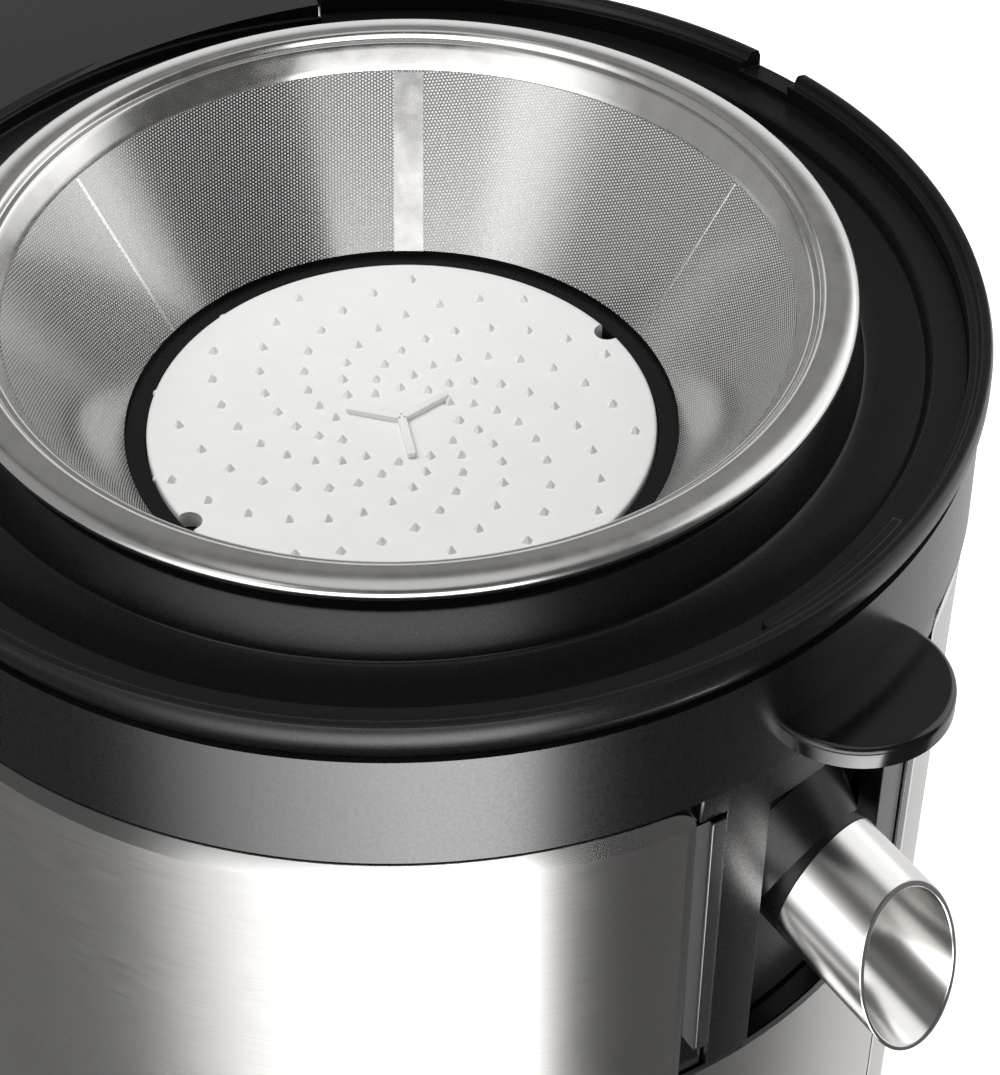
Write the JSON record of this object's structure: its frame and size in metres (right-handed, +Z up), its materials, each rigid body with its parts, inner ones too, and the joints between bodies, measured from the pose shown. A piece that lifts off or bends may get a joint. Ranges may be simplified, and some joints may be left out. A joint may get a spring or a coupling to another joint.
{
  "type": "centrifugal juicer",
  "caption": "Free-standing centrifugal juicer, lid off: steel body, black bowl with steel spout, conical mesh basket with white grating disc, motor, pulp container.",
  "frame": {"origin": "spin axis at the surface the feet stand on", "axes": "+Z up the spin axis, +X to the juice spout, -X to the pulp container, -Y to the front with the speed knob"},
  "size_m": [0.3319, 0.209, 0.2714],
  "materials": {
    "brushed_skin": "horizontally brushed",
    "polished_steel": "polished",
    "mesh_steel": "etched fine mesh",
    "black_gloss": "gloss",
    "black_satin": "satin moulded",
    "white_ceramic": "satin glaze",
    "rubber": "matte",
    "zinc_steel": "plated",
    "cast_metal": "as cast",
    "laminations": "laminated",
    "copper": "enamelled wire",
    "brass": "stamped",
    "carbon": "pressed carbon",
    "white_plastic": "moulded",
    "board_green": "printed board"
  },
  "bodies": {
    "base": {"base_plate": "black_satin", "rubber_foot_ring": "rubber", "base_screws": "zinc_steel", "base_housing": "black_satin", "front_panel": "brushed_skin", "rear_panel": "brushed_skin", "spout_side_skin": "brushed_skin", "pulp_side_cover": "black_satin", "spout_recess_trim": "black_gloss", "cord_gland": "rubber", "knob_bezel": "polished_steel", "rotary_switch": "white_plastic", "control_board": "board_green", "interlock_sensor": "white_plastic", "stator_core": "laminations", "field_coils": "copper", "lower_motor_bracket": "cast_metal", "upper_motor_bracket": "cast_metal", "lower_bearing": "polished_steel", "upper_bearing": "polished_steel", "motor_bolts": "zinc_steel", "rubber_mounts": "rubber", "brush_holders": "brass", "carbon_brushes": "carbon", "shaft_seal": "rubber"},
    "rotor": {"motor_shaft": "zinc_steel", "armature_core": "laminations", "armature_windings": "copper", "commutator": "copper", "cooling_fan": "white_plastic", "drive_coupling": "black_satin"},
    "juice_bowl": {"bowl_surround": "black_gloss", "lid_seat_ring": "black_satin", "finger_ledge": "black_gloss", "juice_bowl": "black_satin", "splash_channel": "black_satin", "spout_block": "black_satin", "spout_sleeve": "polished_steel", "pulp_shelf": "black_satin"},
    "filter_basket": {"basket_rim": "polished_steel", "basket_mesh": "mesh_steel", "mesh_seam_strip": "polished_steel", "mesh_weld_lines": "polished_steel", "disc_carrier": "black_satin", "grating_disc": "white_ceramic", "drive_bush": "black_satin", "carrier_screws": "zinc_steel"},
    "speed_knob": {"speed_knob": "black_satin"},
    "pulp_container": {"pulp_container": "black_gloss"}
  },
  "joints": [
    {"name": "rotor_spin", "type": "hinge", "parent": "base", "child": "rotor", "pos_m": [0, 0, 0.1], "axis": [0, 0, 1], "continuous": true},
    {"name": "bowl_lift", "type": "slide", "parent": "base", "child": "juice_bowl", "axis": [0, 0, 1], "range_m": [0, 0.12]},
    {"name": "basket_spin", "type": "hinge", "parent": "juice_bowl", "child": "filter_basket", "pos_m": [0, 0, 0.24], "axis": [0, 0, 1], "continuous": true},
    {"name": "knob_turn", "type": "hinge", "parent": "base", "child": "speed_knob", "pos_m": [0, -0.096, 0.06], "axis": [0, -1, 0], "range_deg": [-90, 0]},
    {"name": "pulp_container_slide", "type": "slide", "parent": "base", "child": "pulp_container", "axis": [-1, 0, 0], "range_m": [0, 0.15]}
  ],
  "couplings": [
    {"joint": "basket_spin", "follows": "rotor_spin", "ratio": 1}
  ]
}
